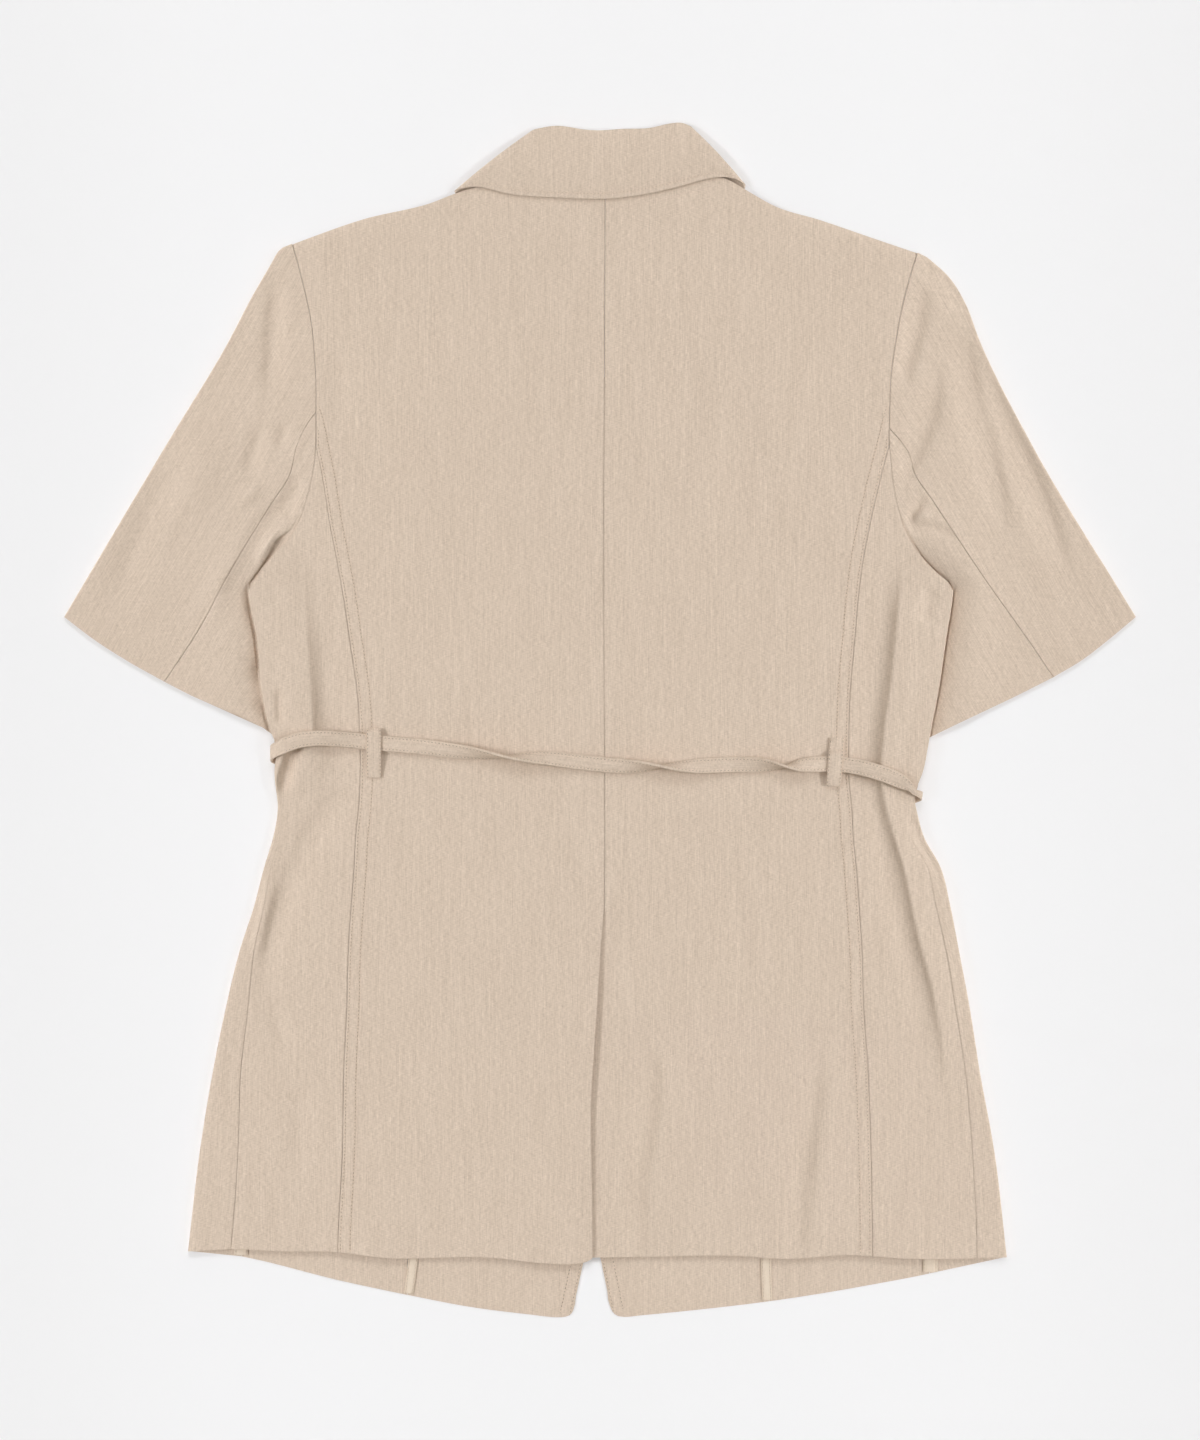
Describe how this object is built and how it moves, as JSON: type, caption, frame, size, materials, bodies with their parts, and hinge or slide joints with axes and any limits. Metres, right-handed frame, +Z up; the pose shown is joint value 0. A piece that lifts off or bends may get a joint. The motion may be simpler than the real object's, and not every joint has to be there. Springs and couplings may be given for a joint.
{
  "type": "belted jacket",
  "caption": "Short-sleeved jacket laid flat with its back up, with a turned-down collar, princess seams, a centre vent and a narrow twisted belt through loops.",
  "frame": {"origin": "middle of the jacket's outline, on the surface that it lies on", "axes": "+X to the right across the back as seen from above, +Y towards the collar, +Z up from the surface through the back"},
  "size_m": [0.7286, 0.8121, 0.0161],
  "materials": {
    "back_left": "matt slub-weave suiting",
    "back_right": "matt slub-weave suiting",
    "back_side_left": "matt slub-weave suiting",
    "back_side_right": "matt slub-weave suiting",
    "side_left": "matt slub-weave suiting",
    "side_right": "matt slub-weave suiting",
    "front_left": "matt slub-weave suiting",
    "front_right": "matt slub-weave suiting",
    "front_side_left": "matt slub-weave suiting",
    "front_side_right": "matt slub-weave suiting",
    "upper_sleeve_left": "matt slub-weave suiting",
    "upper_sleeve_right": "matt slub-weave suiting",
    "under_sleeve_left": "matt slub-weave suiting",
    "under_sleeve_right": "matt slub-weave suiting",
    "collar": "matt slub-weave suiting",
    "belt": "matt slub-weave suiting",
    "belt_loop_left": "matt slub-weave suiting",
    "belt_loop_right": "matt slub-weave suiting",
    "front_binding_left": "matt woven binding",
    "front_binding_right": "matt woven binding",
    "side_binding_left": "matt woven binding",
    "side_binding_right": "matt woven binding"
  },
  "bodies": {
    "root": {"back_left": "back_left", "back_right": "back_right", "back_side_left": "back_side_left", "back_side_right": "back_side_right", "side_left": "side_left", "side_right": "side_right", "front_left": "front_left", "front_right": "front_right", "front_side_left": "front_side_left", "front_side_right": "front_side_right", "upper_sleeve_left": "upper_sleeve_left", "upper_sleeve_right": "upper_sleeve_right", "under_sleeve_left": "under_sleeve_left", "under_sleeve_right": "under_sleeve_right", "collar": "collar", "belt": "belt", "belt_loop_left": "belt_loop_left", "belt_loop_right": "belt_loop_right", "front_binding_left": "front_binding_left", "front_binding_right": "front_binding_right", "side_binding_left": "side_binding_left", "side_binding_right": "side_binding_right"}
  },
  "joints": []
}
